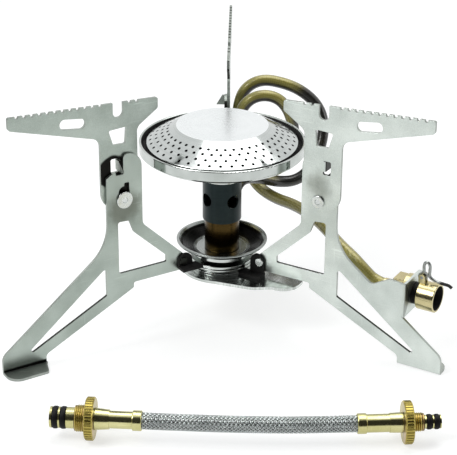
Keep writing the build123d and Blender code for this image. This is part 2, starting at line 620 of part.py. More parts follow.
socket = inlet_socket() + latch_ear()
socket -= inlet_axis * rod(INLET_BORE_R, INLET_MOUTH_R - INLET_BORE_L, INLET_MOUTH_R + 1)
save("inlet_socket", socket)
save("latch_wire", latch_wire())
save("latch_pin", leg_plane(RIGHT_AZ) * rod(PIN_R, -INLET_D - WIRE_R - 1.3, -INLET_D + WIRE_R + 1.3,
                                            LATCH_PIN_R, LATCH_PIN_Z))
save("inlet_grommet", inlet_axis * (rod(GROMMET_R, UNION_FACE_R, COLLAR_BACK_R)
                                    - rod(INLET_STEM_R, UNION_FACE_R - 1, COLLAR_BACK_R + 1)))
union = hexagon(UNION_AF, UNION_BACK_R, UNION_FACE_R - UNION_FLANGE_T)
union += rod(UNION_FLANGE_R, UNION_FACE_R - UNION_FLANGE_T, UNION_FACE_R)
union = fillet(union.edges().filter_by(GeomType.CIRCLE), 0.5)
save("inlet_union_nut", inlet_axis * (union - rod(INLET_STEM_R, UNION_BACK_R - 1, UNION_FACE_R + 1)))


# ---- fuel hose with a ferrule at each end ----
def ferrule(axis, low, high, wall_low, wall_high):
    """Sleeve crimped over the hose end, closed at one end around the gas way."""
    shape = rod(HOSE_R + FERRULE_T, low, high) - rod(HOSE_R, low - 1, high + 1)
    shape += ring(HOSE_R, STUB_R, wall_low, wall_high)
    return axis * shape


def near_point(distance):
    """Point on the inlet's axis at this distance out along the leg."""
    return (inlet_axis * Pos(0, 0, distance)).position


def far_point(distance):
    return (stub_axis * Pos(0, 0, distance)).position


hose_points = [near_point(HOSE_IN_R), near_point(HOSE_IN_R - 9.5)] + [Vector(*p) for p in HOSE_ROUTE]
hose_points += [far_point(HOSE_FAR_R + 4.5), far_point(HOSE_FAR_R)]
hose_path, hose_radii = rounded_path(hose_points)
hose = along(hose_path, HOSE_R) - along(hose_path, HOSE_BORE_R)
save("fuel_hose", hose)
save("hose_ferrules", Compound([
    ferrule(inlet_axis, FERRULE_BACK_R, UNION_BACK_R, HOSE_IN_R, UNION_BACK_R),
    ferrule(stub_axis, HOSE_FAR_R - 1, HOSE_FAR_R + 2.4, HOSE_FAR_R - 1, HOSE_FAR_R),
]))
stub = ring(STUB_R, GAS_R, 4.0, HOSE_FAR_R) + ring(2.6, GAS_R, BLOCK_R, HOSE_FAR_R - 1)
save("gas_stub", stub_axis * stub)
print("fuel hose radii", [round(r, 1) for r in hose_radii])
print("fuel hose length", round(hose_path.length, 1))


# ---- link hose ----
link_points = [LINK_LEFT, *LINK_MID, LINK_RIGHT]
link_path, link_radii = rounded_path([(x, y, LINK_Z) for x, y in link_points])
save("link_braid", along(link_path, LINK_BRAID_R))
print("link hose radii", [round(r, 1) for r in link_radii])
print("link hose length", round(link_path.length, 1))


def link_end(name, point, inner_point, sizes):
    """One end fitting: ferrule, sleeve and body fixed to the hose, and a nut that turns on its stem."""
    heading = degrees(atan2(point[1] - inner_point[1], point[0] - inner_point[0]))
    axis = Pos(point[0], point[1], LINK_Z) * Rot(0, 0, heading) * Rot(0, 90, 0)
    body_z = LINK_FERRULE_L + sizes["sleeve_l"]
    nut_z = body_z + sizes["body_l"]
    thread_z = nut_z + sizes["grip_l"]
    nose_z = thread_z + sizes["thread_l"]
    end_z = nose_z + sizes["nose_l"]
    groove_r = sizes["seal_r"] - LINK_SEAL_T
    seats = [nose_z + sizes["seal_at"] + k * sizes["seal_pitch"] for k in (0, 1)]

    fitting = turned([
        (LINK_BORE_R, LINK_FERRULE_L), (sizes["sleeve_r"], LINK_FERRULE_L), (sizes["sleeve_r"], body_z),
        (sizes["neck_r"], body_z), (sizes["body_r"], nut_z), (LINK_STEM_R, nut_z),
        (LINK_STEM_R, nose_z + 0.1), (sizes["land_r"], nose_z + 0.1), (sizes["land_r"], end_z),
        (LINK_BORE_R, end_z),
    ])
    for seat in seats:
        fitting -= ring(sizes["land_r"] + 1, groove_r, seat - LINK_SEAL_W / 2, seat + LINK_SEAL_W / 2)
    save(f"{name}_link_fitting", axis * fitting)
    ferrule_shape = rod(LINK_FERRULE_R, 0, LINK_FERRULE_L)
    rims = ferrule_shape.edges().filter_by(GeomType.CIRCLE)
    save(f"{name}_link_ferrule", axis * fillet(rims, 0.5))
    seals = []
    for seat in seats:
        seal = rod(sizes["seal_r"], seat - LINK_SEAL_W / 2, seat + LINK_SEAL_W / 2)
        seal = fillet(seal.edges().filter_by(GeomType.CIRCLE), LINK_SEAL_T * 0.8)
        seals.append(seal - rod(groove_r, seat - LINK_SEAL_W, seat + LINK_SEAL_W))
    save(f"{name}_link_seals", axis * Compound(seals))

    grip = rod(sizes["grip_r"], nut_z + 0.2, thread_z)
    grip = chamfer(grip.edges().filter_by(GeomType.CIRCLE), 0.5)
    scallops = [Rot(0, 0, 360 / SCALLOPS * k) * rod(SCALLOP_R, nut_z - 1, thread_z + 1, sizes["grip_r"] + 0.1)
                for k in range(SCALLOPS)]
    nut = grip - scallops + rod(sizes["thread_r"], thread_z, nose_z - 0.1)
    nut -= rod(LINK_STEM_R + GRIP_CLEARANCE, nut_z - 1, nose_z + 1)
    save(f"{name}_link_nut", axis * nut)


link_end("left", LINK_LEFT, LINK_MID[0], LEFT_GRIP)
link_end("right", LINK_RIGHT, LINK_MID[-1], RIGHT_GRIP)
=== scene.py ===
import bpy
import bmesh
from math import cos, hypot, pi, radians, sin
from mathutils import Matrix, Vector


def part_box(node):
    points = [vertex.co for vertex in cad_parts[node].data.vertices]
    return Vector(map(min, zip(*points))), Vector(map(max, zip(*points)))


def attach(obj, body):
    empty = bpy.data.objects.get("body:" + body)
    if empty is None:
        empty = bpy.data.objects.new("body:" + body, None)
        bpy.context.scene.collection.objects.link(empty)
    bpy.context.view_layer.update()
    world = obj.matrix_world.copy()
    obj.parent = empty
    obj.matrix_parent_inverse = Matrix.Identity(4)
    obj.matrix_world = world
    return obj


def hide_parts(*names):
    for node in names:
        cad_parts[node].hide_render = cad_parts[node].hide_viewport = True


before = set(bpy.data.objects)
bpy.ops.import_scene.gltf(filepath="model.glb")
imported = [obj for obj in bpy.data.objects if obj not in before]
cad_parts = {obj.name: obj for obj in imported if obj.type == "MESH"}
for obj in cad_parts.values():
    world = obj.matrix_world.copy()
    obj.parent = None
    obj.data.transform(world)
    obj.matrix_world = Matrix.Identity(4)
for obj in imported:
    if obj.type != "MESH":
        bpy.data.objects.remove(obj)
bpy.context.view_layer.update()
scene = bpy.context.scene
mm = 0.001
print("frame loaded")


viewpoint = {
    "turn": 1.19,        # degrees around the stove, from straight in front
    "height": 24.48,     # degrees above the floor
    "roll": 0.25,
    "pan": -0.2313,
    "tilt": -0.8327,
    "distance": 785.9,
    "target": 60.0,      # height of the point it circles
    "lens": 126.84,
    "sensor": 36,
    "clip": (0.05, 50),  # in metres
}


def addCamera(view):
    turn, height = radians(view["turn"]), radians(view["height"])
    away = Vector((sin(turn) * cos(height), -cos(turn) * cos(height), sin(height)))
    right = (-away).cross(Vector((0, 0, 1))).normalized()
    aim = Matrix((right, away.cross(right), away)).transposed()
    for label, axle in (("roll", "Z"), ("pan", "Y"), ("tilt", "X")):
        aim = aim @ Matrix.Rotation(radians(view[label]), 3, axle)
    lens = bpy.data.cameras.new("mainCamera")
    lens.lens = view["lens"]
    lens.sensor_width = view["sensor"]
    lens.clip_start, lens.clip_end = view["clip"]
    camera = bpy.data.objects.new("mainCamera", lens)
    place = (Vector((0, 0, view["target"])) + away * view["distance"]) * mm
    camera.matrix_world = Matrix.Translation(place) @ aim.to_4x4()
    scene.collection.objects.link(camera)
    scene.camera = camera


addCamera(viewpoint)


def feed(tree, value, node, socket):
    # value is plain, or a pair of a node and one of its outputs
    if isinstance(value, tuple) and isinstance(value[0], bpy.types.Node):
        tree.links.new(value[0].outputs[value[1]], node.inputs[socket])
    else:
        node.inputs[socket].default_value = value


def addNode(tree, kind, inputs, **settings):
    node = tree.nodes.new(kind)
    for label, value in settings.items():
        setattr(node, label, value)
    for socket, value in inputs.items():
        feed(tree, value, node, socket)
    return node


def noise(tree, source, scale, detail, rough=0.5):
    inputs = {"Vector": source, "Scale": scale, "Detail": detail, "Roughness": rough}
    return addNode(tree, "ShaderNodeTexNoise", inputs), "Fac"


def remap(tree, source, low, high, first=0.0, last=1.0, smooth=True):
    inputs = {"Value": source, "From Min": low, "From Max": high, "To Min": first, "To Max": last}
    kind = "SMOOTHSTEP" if smooth else "LINEAR"
    return addNode(tree, "ShaderNodeMapRange", inputs, interpolation_type=kind), "Result"


def maths(tree, operation, *values):
    return addNode(tree, "ShaderNodeMath", dict(enumerate(values)), operation=operation), "Value"


def stretched(tree, source, scale):
    return addNode(tree, "ShaderNodeMapping", {"Vector": source, "Scale": scale}), "Vector"


def lengthOf(tree, source):
    return addNode(tree, "ShaderNodeVectorMath", {0: source}, operation="LENGTH"), "Value"


def fromAxle(tree, source):
    # distance from the Z axis
    return lengthOf(tree, stretched(tree, source, (1, 1, 0)))


def part(tree, source, letter):
    return addNode(tree, "ShaderNodeSeparateXYZ", {"Vector": source}), letter


def tint(tree, below, over, mask):
    return addNode(tree, "ShaderNodeMix", {0: mask, 6: below, 7: over}, data_type="RGBA"), 2


def newGroup(name, numbers, outputs):
    # takes a vector and numbers, gives numbers
    group = bpy.data.node_groups.new(name, "ShaderNodeTree")
    group.interface.new_socket("Vector", in_out="INPUT", socket_type="NodeSocketVector")
    for label, value in numbers.items():
        socket = group.interface.new_socket(label, in_out="INPUT", socket_type="NodeSocketFloat")
        socket.default_value = value
    for label in outputs:
        group.interface.new_socket(label, in_out="OUTPUT", socket_type="NodeSocketFloat")
    return group, group.nodes.new("NodeGroupInput"), group.nodes.new("NodeGroupOutput")


grainForm = {
    # each noise has a scale, detail and roughness
    "cloud": (42, 3.0, 0.55),
    "lines": (1.0, 2.0, 0.6),
    "lineStretch": (70, 900, 1500),
    "grain": (3200, 1.0, 0.5),
    "middle": 0.5,
}


def buildSheetGrain():
    # blasted sheet: cloudy tone, faint rolling lines along X and a fine grain
    group, start, end = newGroup("sheetGrain", {"Cloud": 0.3, "Lines": 0.3, "Grain": 0.3},
                                 ("Tone", "Height"))
    place = (start, "Vector")
    noises = {
        "Cloud": noise(group, place, *grainForm["cloud"]),
        "Lines": noise(group, stretched(group, place, grainForm["lineStretch"]), *grainForm["lines"]),
        "Grain": noise(group, place, *grainForm["grain"]),
    }
    cloud, lines, grain = [
        maths(group, "MULTIPLY", maths(group, "SUBTRACT", source, grainForm["middle"]), (start, label))
        for label, source in noises.items()]
    feed(group, maths(group, "ADD", maths(group, "ADD", cloud, lines), grain), end, "Tone")
    feed(group, maths(group, "ADD", lines, grain), end, "Height")
    return group


scuffForm = {
    "ways": (((60, 500, 2600), 0.66), ((1900, 700, 90), 0.68)),   # stretch and threshold
    "marks": (1.0, 1.0, 0.4),
    "fade": 0.06,
    "patches": (55, 2.0),
    "patchSpan": (0.45, 0.65),
}


def buildScuffs():
    # thin straight rub marks in two directions
    group, start, end = newGroup("scuffs", {"Amount": 0.5}, ("Mask",))
    place = (start, "Vector")
    marks = []
    for stretch, low in scuffForm["ways"]:
        lines = noise(group, stretched(group, place, stretch), *scuffForm["marks"])
        marks.append(remap(group, lines, low, low + scuffForm["fade"]))
    where = remap(group, noise(group, place, *scuffForm["patches"]), *scuffForm["patchSpan"])
    masked = maths(group, "MULTIPLY", maths(group, "MAXIMUM", *marks), where)
    feed(group, maths(group, "MULTIPLY", masked, (start, "Amount")), end, "Mask")
    return group


zoneForm = {"ragged": (130, 3.0), "middle": 0.5}


def buildZone():
    # soft-edged round zone about the mapped origin, broken up by noise
    group, start, end = newGroup("zone", {"Radius": 0.02, "Edge": 0.01, "Break": 0.3}, ("Mask",))
    place, radius = (start, "Vector"), (start, "Radius")
    ragged = maths(group, "SUBTRACT", noise(group, place, *zoneForm["ragged"]), zoneForm["middle"])
    push = maths(group, "MULTIPLY", maths(group, "MULTIPLY", ragged, (start, "Break")), radius)
    moved = maths(group, "ADD", lengthOf(group, place), push)
    share = maths(group, "DIVIDE", maths(group, "SUBTRACT", radius, moved), (start, "Edge"))
    feed(group, remap(group, share, 0.0, 1.0), end, "Mask")
    return group


ringForm = {"detail": 2.0, "cloud": (90, 2.0)}


def buildTurned():
    # fine tool rings about Z on a turned part
    group, start, end = newGroup("turnedRings", {"Pitch": 0.0003}, ("Height", "Tone"))
    place = (start, "Vector")
    steps = maths(group, "DIVIDE", fromAxle(group, place), (start, "Pitch"))
    inputs = {"W": steps, "Scale": 1.0, "Detail": ringForm["detail"]}
    rings = addNode(group, "ShaderNodeTexNoise", inputs, noise_dimensions="1D"), "Fac"
    both = maths(group, "ADD", rings, noise(group, place, *ringForm["cloud"]))
    feed(group, rings, end, "Height")
    feed(group, maths(group, "MULTIPLY", both, 0.5), end, "Tone")
    return group


weaveForm = {"crossingSpan": (-1.0, 1.0), "heightSpan": (-0.6, 1.0)}


def buildWeave():
    # diamond weave from a tube's own map: U runs along it, V around it
    group, start, end = newGroup("hoseWeave", {"Along": 200.0, "Around": 8.0}, ("Height", "Crossing"))
    place = (start, "Vector")
    along = maths(group, "MULTIPLY", part(group, place, "X"), (start, "Along"))
    around = maths(group, "MULTIPLY", part(group, place, "Y"), (start, "Around"))
    waves = [maths(group, "COSINE", maths(group, "MULTIPLY", maths(group, hand, along, around), 2 * pi))
             for hand in ("ADD", "SUBTRACT")]
    product, top = maths(group, "MULTIPLY", *waves), maths(group, "MAXIMUM", *waves)
    feed(group, remap(group, product, *weaveForm["crossingSpan"], smooth=False), end, "Crossing")
    feed(group, remap(group, top, *weaveForm["heightSpan"], smooth=False), end, "Height")
    return group


sheetGrain, scuffs, zone = buildSheetGrain(), buildScuffs(), buildZone()
turnedRings, hoseWeave = buildTurned(), buildWeave()
print("shader groups built")


def newMaterial(name, values):
    material = bpy.data.materials.new(name)
    material.use_nodes = True
    shader = material.node_tree.nodes["Principled BSDF"]
    for label, value in values.items():
        shader.inputs[label].default_value = value
    return material, material.node_tree, shader


def objectVector(tree, place=(0, 0, 0), turn=0.0):
    # object coordinates, moved so that place is the origin and turned so that X runs along turn
    source = tree.nodes.new("ShaderNodeTexCoord"), "Object"
    moved = addNode(tree, "ShaderNodeVectorMath", {0: source, 1: place}, operation="SUBTRACT"), "Vector"
    return addNode(tree, "ShaderNodeMapping", {"Vector": moved, "Rotation": (0, 0, -turn)}), "Vector"


def useGroup(tree, group, values, source):
    return addNode(tree, "ShaderNodeGroup", {"Vector": source, **values}, node_tree=group)


def useZone(tree, centre, turn, reach, edge, ragged):
    values = {"Radius": reach * mm, "Edge": edge * mm, "Break": ragged}
    return useGroup(tree, zone, values, objectVector(tree, centre, turn)), "Mask"


def addScuffs(tree, below, shade, source, amount, lift):
    # rub marks in a lighter shade
    marks = useGroup(tree, scuffs, {"Amount": amount}, source), "Mask"
    lighter = (*[min(1.0, c * lift) for c in shade[:3]], 1)
    return tint(tree, below, lighter, marks)


def addGloss(tree, shader, source, span, rough):
    feed(tree, remap(tree, source, *span, *rough, smooth=False), shader, "Roughness")


def addBump(tree, shader, source, strength, depth):
    inputs = {"Height": source, "Strength": strength, "Distance": depth * mm}
    node = addNode(tree, "ShaderNodeBump", inputs)
    feed(tree, (node, "Normal"), shader, "Normal")
    return node


legTurns = {"left": 212.9, "rear": 90.0, "right": 330.8}
plateLook = {
    # each side is a lighter or darker copy of one steel, painted for how the light falls: painted shade
    # on the left, painted light on the right
    "left": ((0.46, 0.52, 0.475, 1), (0.34, 0.39, 0.35, 1)),
    "rear": ((0.56, 0.61, 0.57, 1), (0.42, 0.46, 0.43, 1)),
    "right": ((0.70, 0.75, 0.71, 1), (0.51, 0.56, 0.525, 1)),
    "rivetDark": (0.14, 0.15, 0.12, 1),
    # black for painted shade where the sheets meet and in the fold above the foot
    "soot": (0.012, 0.012, 0.011, 1),
    "grain": {"Cloud": 1.3, "Lines": 0.10, "Grain": 0.7},
    "toneSpan": (-0.35, 0.35),
    "glossSpan": (-0.4, 0.4),
    "rough": (0.28, 0.40),
    "scuffs": (0.5, 1.3),     # amount, and how much lighter
    "relief": (0.35, 0.06),
    "edge": 0.3,
    "edgeSamples": 4,
    "crease": (2.9, 2.0),     # painted shade in the fold above a foot's flange
    # a darker zone round the support's rivet on each side, with its edge and share
    "darkerRound": {"left": (54.0, 70.0, 13.0), "rear": (54.0, 72.0, 12.0), "right": (54.0, 82.0, 10.0)},
    "darkerRoundEdge": (9.0, 0.9),
    "darkerRoundShare": 0.75,
    "contact": ((58.5, 89.5, 9.0), (52.5, 81.0, 5.0)),   # where leg and support meet: painted shade in the gap between them
    "shadedContactEdge": (1.2, 0.3),
}


def spotOn(turn, distance, high):
    return (distance * cos(turn) * mm, distance * sin(turn) * mm, high * mm)


def plateSteel(side, contact=False):
    # face of a leg or support; the contact face is the one that lies against the other part, with
    # painted shade where they meet
    turn = radians(legTurns[side])
    name = side + ("ShadedContact" if contact else "PlateSteel")
    material, tree, shader = newMaterial(name, {"Metallic": 1.0})
    flat = objectVector(tree, turn=turn)
    grain = useGroup(tree, sheetGrain, plateLook["grain"], flat)
    # the side's own lighter or darker steel: painted light and shade for how the light falls on it
    pale, deep = plateLook[side]
    base = tint(tree, pale, deep, remap(tree, (grain, "Tone"), *plateLook["toneSpan"]))
    # darker round the support's rivet
    distance, high, reach = plateLook["darkerRound"][side]
    darkerSpot = useZone(tree, spotOn(turn, distance, high), turn, reach, *plateLook["darkerRoundEdge"])
    share = maths(tree, "MULTIPLY", darkerSpot, plateLook["darkerRoundShare"])
    darkerRound = tint(tree, base, plateLook["rivetDark"], share)
    top = addScuffs(tree, darkerRound, pale, flat, *plateLook["scuffs"])
    # painted shade where the two sheets meet
    if contact:
        for distance, high, reach in plateLook["contact"]:
            spot = spotOn(turn, distance, high)
            contactShade = useZone(tree, spot, turn, reach, *plateLook["shadedContactEdge"])
            top = tint(tree, top, plateLook["soot"], contactShade)
    else:
        # painted shade in the fold above the foot's flange
        low, high = plateLook["crease"]
        crease = remap(tree, part(tree, objectVector(tree), "Z"), low * mm, high * mm)
        top = tint(tree, top, plateLook["soot"], crease)
    feed(tree, top, shader, "Base Color")
    addGloss(tree, shader, (grain, "Tone"), plateLook["glossSpan"], plateLook["rough"])
    relief = addBump(tree, shader, (grain, "Height"), *plateLook["relief"])
    radius = plateLook["edge"] * mm
    rounded = addNode(tree, "ShaderNodeBevel", {"Radius": radius}, samples=plateLook["edgeSamples"])
    feed(tree, (rounded, "Normal"), relief, "Normal")
    return material


turnedLook = {"span": (0.3, 0.7), "depth": 0.2}


def polished(name, base, deep, rough, pitch, bump):
    material, tree, shader = newMaterial(name, {"Metallic": 1.0})
    rings = useGroup(tree, turnedRings, {"Pitch": pitch * mm}, objectVector(tree))
    tone = (rings, "Tone")
    feed(tree, tint(tree, base, deep, remap(tree, tone, *turnedLook["span"])), shader, "Base Color")
    addGloss(tree, shader, tone, turnedLook["span"], rough)
    addBump(tree, shader, (rings, "Height"), bump, turnedLook["depth"])
    return material


grainedSpan = (-0.3, 0.3)


def grained(name, base, deep, rough, values, grain, relief=None, scuffed=None):
    # cloudy tone and fine grain, with rub marks on bare metal
    material, tree, shader = newMaterial(name, values)
    source = objectVector(tree)
    pattern = useGroup(tree, sheetGrain, grain, source)
    tone = (pattern, "Tone")
    surface = tint(tree, base, deep, remap(tree, tone, *grainedSpan))
    if scuffed:
        surface = addScuffs(tree, surface, base, source, *scuffed)
    feed(tree, surface, shader, "Base Color")
    addGloss(tree, shader, tone, grainedSpan, rough)
    if relief:
        addBump(tree, shader, (pattern, "Height"), *relief)
    return material


threadLook = {
    "pitch": 0.9,
    "crest": (0.50, 0.36, 0.15, 1),
    # darker roots: painted shade in the thread's grooves
    "root": (0.10, 0.055, 0.02, 1),
    "span": (-0.7, 0.7),
    "rough": 0.3,
    "relief": (0.8, 0.3),
}


def threadBrass():
    # under the threads of the link hose's grips, which lie along X; the roots are darker, painted shade
    values = {"Metallic": 1.0, "Roughness": threadLook["rough"]}
    material, tree, shader = newMaterial("threadBrass", values)
    along = part(tree, objectVector(tree), "X")
    turns = maths(tree, "MULTIPLY", along, 2 * pi / (threadLook["pitch"] * mm))
    crest = remap(tree, maths(tree, "SINE", turns), *threadLook["span"])
    feed(tree, tint(tree, threadLook["root"], threadLook["crest"], crest), shader, "Base Color")
    addBump(tree, shader, crest, *threadLook["relief"])
    return material


cupLook = {
    "base": (0.002, 0.002, 0.002, 1),
    "deep": (0.008, 0.0075, 0.007, 1),
    "bareAndLit": (0.34, 0.36, 0.35, 1),
    "lip": (1.1, 0.6),        # bare above this, measured down from the rim
    "floor": (12.5, 14.5),    # lighter within this: a painted highlight on the floor
    "pitch": 0.5,
    "rough": (0.16, 0.3),
    "bump": 0.06,
}


def darkPreheatCup(rimHeight):
    # dark dish, bare and bright at its lip; its lighter floor is a painted highlight
    material, tree, shader = newMaterial("darkPreheatCup", {"Metallic": 1.0})
    source = objectVector(tree)
    rings = useGroup(tree, turnedRings, {"Pitch": cupLook["pitch"] * mm}, source)
    tone = (rings, "Tone")
    lip = remap(tree, part(tree, source, "Z"), *[rimHeight - c * mm for c in cupLook["lip"]])
    # painted highlight: the floor is lighter
    floor = remap(tree, fromAxle(tree, source), *[c * mm for c in cupLook["floor"]], 1.0, 0.0)
    dark = tint(tree, cupLook["base"], cupLook["deep"], remap(tree, tone, *turnedLook["span"]))
    surface = tint(tree, dark, cupLook["bareAndLit"], maths(tree, "MAXIMUM", lip, floor))
    feed(tree, surface, shader, "Base Color")
    addGloss(tree, shader, tone, turnedLook["span"], cupLook["rough"])
    addBump(tree, shader, (rings, "Height"), cupLook["bump"], turnedLook["depth"])
    return material


hoseLook = {
    "gold": (0.36, 0.315, 0.075, 1),
    "shade": (0.10, 0.092, 0.018, 1),
    "black": (0.012, 0.011, 0.008, 1),
    "sleeve": {"Metallic": 0.35, "Coat Weight": 0.8, "Coat Roughness": 0.12, "Coat IOR": 1.5},
    "weave": {"Along": 190.0, "Around": 9.0},
    "cloud": (120, 2.0),
    "lit": (-0.45, -0.35, 0.82),   # the lit side keeps the gold; the side turned away is painted black as shade
    "litSpan": (0.55, 0.1),
    "shadedLoops": ((50.0, 62.0, 84.0), (42.0, 48.0, 58.0)),   # the outer and lower loops, painted black as shade
    "shadedLoopsEdge": (24.0, 10.0, 0.3),
    "rough": (0.3, 0.42),
    "relief": (0.35, 0.15),
}


def hoseCoat():
    # clear amber sleeve over a fine braid, painted black as shade on the side turned from the light and
    # on its outer and lower loops
    material, tree, shader = newMaterial("hoseCoat", hoseLook["sleeve"])
    source = tree.nodes.new("ShaderNodeTexCoord")
    weave = useGroup(tree, hoseWeave, hoseLook["weave"], (source, "UV"))
    cloud = noise(tree, objectVector(tree), *hoseLook["cloud"])
    share = maths(tree, "MULTIPLY", (weave, "Crossing"), cloud)
    gold = tint(tree, hoseLook["gold"], hoseLook["shade"], share)
    inputs = {0: (source, "Normal"), 1: hoseLook["lit"]}
    facing = addNode(tree, "ShaderNodeVectorMath", inputs, operation="DOT_PRODUCT"), "Value"
    # painted shade: black on the side turned from the light
    surface = tint(tree, gold, hoseLook["black"], remap(tree, facing, *hoseLook["litSpan"]))
    # painted shade on the outer and lower loops
    for place in hoseLook["shadedLoops"]:
        shadedLoops = useZone(tree, tuple(c * mm for c in place), 0.0, *hoseLook["shadedLoopsEdge"])
        surface = tint(tree, surface, hoseLook["black"], shadedLoops)
    feed(tree, surface, shader, "Base Color")
    addGloss(tree, shader, (weave, "Height"), (0.0, 1.0), hoseLook["rough"])
    addBump(tree, shader, (weave, "Height"), *hoseLook["relief"])
    return material


polishedLooks = {
    # name, colour, deeper colour, roughness, pitch of the rings and their bump
    "hub": ("hubSteel", (0.74, 0.77, 0.75, 1), (0.50, 0.53, 0.51, 1), (0.14, 0.24), 0.6, 0.04),
    "mirror": ("mirrorSteel", (0.60, 0.63, 0.62, 1), (0.50, 0.53, 0.52, 1), (0.10, 0.18), 1.2, 0.02),
    # painted highlight: the burner cap's flat top is lighter than its cone
    "topSteel": ("topSteel", (0.86, 0.89, 0.895, 1), (0.80, 0.83, 0.835, 1), (0.22, 0.30), 4.0, 0.0),
    "cupSteel": ("cupSteel", (0.60, 0.63, 0.61, 1), (0.42, 0.45, 0.43, 1), (0.08, 0.16), 0.6, 0.02),
}
metalLooks = {
    # name, colour, deeper colour and roughness
    "cutEdge": ("cutEdge", (0.44, 0.475, 0.44, 1), (0.20, 0.22, 0.20, 1), (0.3, 0.45)),
    # dark metal for painted shade and painted dark reflections: dark cut edges, hidden rivets and the
    # gaps in the hub
    "darkEdge": ("darkEdge", (0.045, 0.048, 0.042, 1), (0.02, 0.021, 0.018, 1), (0.3, 0.45)),
    "rivet": ("rivetSteel", (0.74, 0.77, 0.75, 1), (0.55, 0.58, 0.56, 1), (0.14, 0.26)),
    "block": ("agedBrass", (0.11, 0.07, 0.02, 1), (0.03, 0.019, 0.007, 1), (0.16, 0.30)),
    "brass": ("paleBrass", (0.64, 0.58, 0.34, 1), (0.44, 0.37, 0.18, 1), (0.14, 0.28)),
    "linkBrass": ("linkBrass", (0.66, 0.63, 0.34, 1), (0.46, 0.43, 0.17, 1), (0.13, 0.24)),
    "nutBrass": ("nutBrass", (0.50, 0.41, 0.11, 1), (0.33, 0.26, 0.06, 1), (0.20, 0.32)),
    "wire": ("wireSteel", (0.42, 0.44, 0.43, 1), (0.22, 0.23, 0.22, 1), (0.2, 0.34)),
    "braid": ("braidSteel", (0.64, 0.68, 0.67, 1), (0.42, 0.45, 0.44, 1), (0.16, 0.28)),
}
metalGrain = {"values": {"Metallic": 1.0}, "grain": {"Cloud": 0.8, "Lines": 0.2, "Grain": 0.3},
              "relief": (0.12, 0.04), "scuffed": (0.4, 1.25)}
darkLooks = {
    # heat-darkened tube, rubber, and black for hidden faces: painted shade in holes, bores, gaps and
    # hollows, with some soot inside the burner
    "tube": ("darkTube", (0.006, 0.014, 0.016, 1), (0.018, 0.028, 0.028, 1), (0.26, 0.42),
             {"Metallic": 0.75}, {"Cloud": 0.8, "Lines": 0.3, "Grain": 0.3}, (0.2, 0.05)),
    "rubber": ("blackRubber", (0.002, 0.002, 0.002, 1), (0.006, 0.006, 0.006, 1), (0.42, 0.6),
               {"Metallic": 0.0, "Specular IOR Level": 0.18}, {"Cloud": 0.6, "Lines": 0.0, "Grain": 0.5},
               (0.3, 0.05)),
    "soot": ("sootBlack", (0.006, 0.006, 0.006, 1), (0.016, 0.015, 0.014, 1), (0.8, 0.8),
             {"Metallic": 0.0}, {"Cloud": 0.8, "Lines": 0.0, "Grain": 0.4}),
}
materials = {"thread": threadBrass(), "cup": darkPreheatCup(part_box("preheat_cup")[1].z), "hose": hoseCoat()}
for side in legTurns:
    materials[side + "Plate"] = plateSteel(side)
    materials[side + "ShadedContact"] = plateSteel(side, contact=True)
for finish, look in polishedLooks.items():
    materials[finish] = polished(*look)
for finish, look in metalLooks.items():
    materials[finish] = grained(*look, **metalGrain)
for finish, look in darkLooks.items():
    materials[finish] = grained(*look)
print("materials built")


nodeFinish = {
    "left_leg": "leftPlate", "rear_leg": "rearPlate", "right_leg": "rightPlate",
    "left_support": "leftPlate", "rear_support": "rearPlate", "right_support": "rightPlate",
    "left_support_rivet": "rivet", "rear_support_rivet": "rivet", "right_support_rivet": "rivet",
    # the left and rear leg rivets take the dark metal, painted shade
    "left_leg_rivet": "darkEdge", "rear_leg_rivet": "darkEdge", "right_leg_rivet": "rivet",
    "left_leg_ring": "hub", "rear_leg_ring": "hub", "right_leg_ring": "hub",
    # the hub sleeve and spring washer take the dark metal, painted shade in the gaps of the hub
    "base_plate": "hub", "hub_nut": "brass", "hub_sleeve": "darkEdge", "spring_washer": "darkEdge",
    "cup_seat": "hub", "preheat_cup": "cup", "gas_block": "block", "jet": "brass",
    "gas_stub": "block", "mixing_tube": "tube", "burner_cup": "cupSteel", "burner_cap": "mirror",
    # the grommet's black rubber also stands in for the shade in the socket's neck
    "inlet_socket": "brass", "inlet_union_nut": "brass", "inlet_grommet": "rubber",
    "latch_wire": "wire", "latch_pin": "wire", "fuel_hose": "hose", "hose_ferrules": "brass",
    "link_braid": "braid", "left_link_ferrule": "linkBrass", "right_link_ferrule": "linkBrass",
    "left_link_fitting": "linkBrass", "right_link_fitting": "linkBrass",
    "left_link_seals": "rubber", "right_link_seals": "rubber",
    "left_link_nut": "nutBrass", "right_link_nut": "nutBrass",
}
for nodeName, finish in nodeFinish.items():
    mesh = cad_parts[nodeName].data
    mesh.materials.clear()
    mesh.materials.append(materials[finish])

faceRules = {
    "sheetReach": 3.0,       # further than this from the sheet's middle: a flange or pivot
    "plateNormal": 0.7,      # flatter than this to the sheet: a face of it, else a cut edge
    "upward": 0.35,
    "darkBelow": 62.0,       # cut edges that face up get painted shade below the post
    "outerEdge": (63.0, 53.03, 119.6, 9.17),   # distance and height of its upper and lower ends
    "edgeBand": 4.0,
    "darkInnerEdge": 86.0,   # the post's inner edge gets a painted dark reflection above this
    # rear support edges facing further down than this are painted dark as shade
    "underside": 0.2,
    "flange": 4.0,
    # about this spot the right support's lock window edges are painted dark as shade
    "lockTab": (55.7, 90.5, 5.5),
}


def outerEdgeHeight(distance):
    near, nearHeight, far, farHeight = faceRules["outerEdge"]
    return nearHeight + (farHeight - nearHeight) * (distance - near) / (far - near)


def legAxes(side):
    # outward along a leg, and across its sheet
    turn = radians(legTurns[side])
    return Vector((cos(turn), sin(turn), 0)), Vector((sin(turn), -cos(turn), 0))


